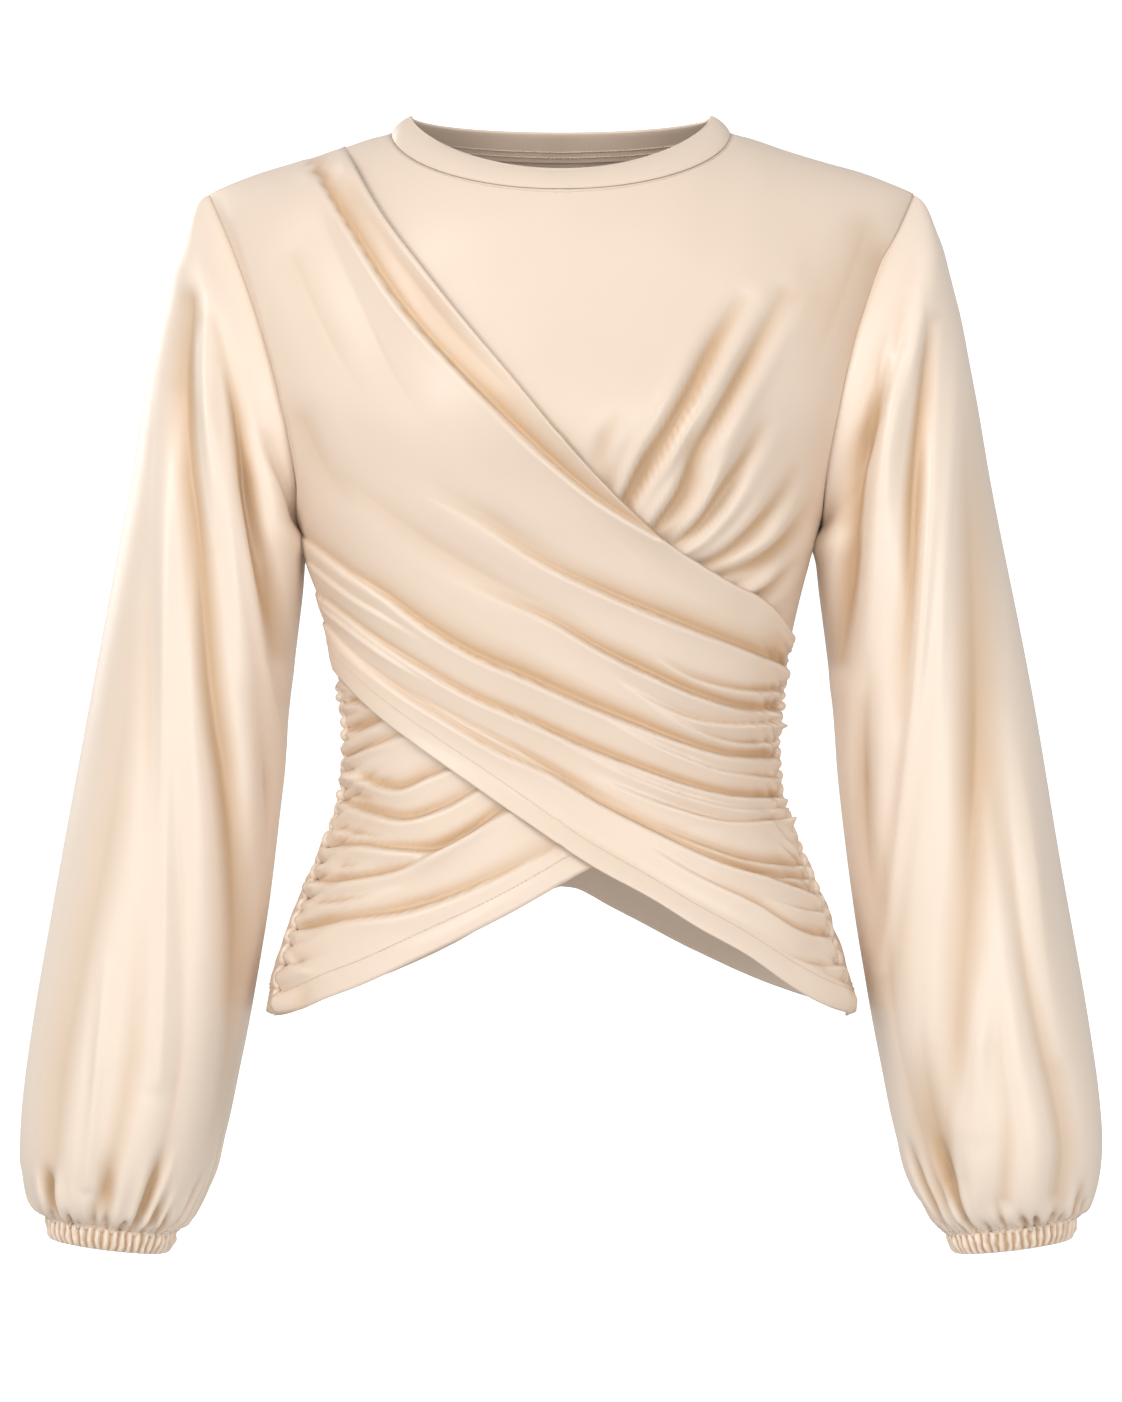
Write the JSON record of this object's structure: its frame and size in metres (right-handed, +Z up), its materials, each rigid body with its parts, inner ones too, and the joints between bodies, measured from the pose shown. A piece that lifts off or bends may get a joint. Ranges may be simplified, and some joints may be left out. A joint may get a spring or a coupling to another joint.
{
  "type": "blouse",
  "caption": "Long balloon-sleeve blouse with a crossed front ruched into the side seams, round banded neck, arched hem and gathered elastic cuffs.",
  "frame": {"origin": "midway between the two neck points, level with the top of the shoulders, where the wearer's shoulders hold the blouse", "axes": "+Z up, from hem to neck; the front faces -Y; +X is the viewer's right from the front, the wearer's left"},
  "size_m": [0.603, 0.2171, 0.6365],
  "materials": {
    "back_jersey": "smooth fine jersey, soft satin",
    "under_jersey": "smooth fine jersey, soft satin",
    "over_jersey": "smooth fine jersey, soft satin",
    "band_jersey": "smooth fine jersey, soft satin",
    "sleeve_right_jersey": "smooth fine jersey, soft satin",
    "sleeve_left_jersey": "smooth fine jersey, soft satin",
    "cuff_right_jersey": "gathered jersey over elastic",
    "cuff_left_jersey": "gathered jersey over elastic"
  },
  "bodies": {
    "root": {"back_panel": "back_jersey", "front_under": "under_jersey", "front_over": "over_jersey", "neckband": "band_jersey", "sleeve_right": "sleeve_right_jersey", "sleeve_left": "sleeve_left_jersey", "cuff_right": "cuff_right_jersey", "cuff_left": "cuff_left_jersey"}
  },
  "joints": []
}
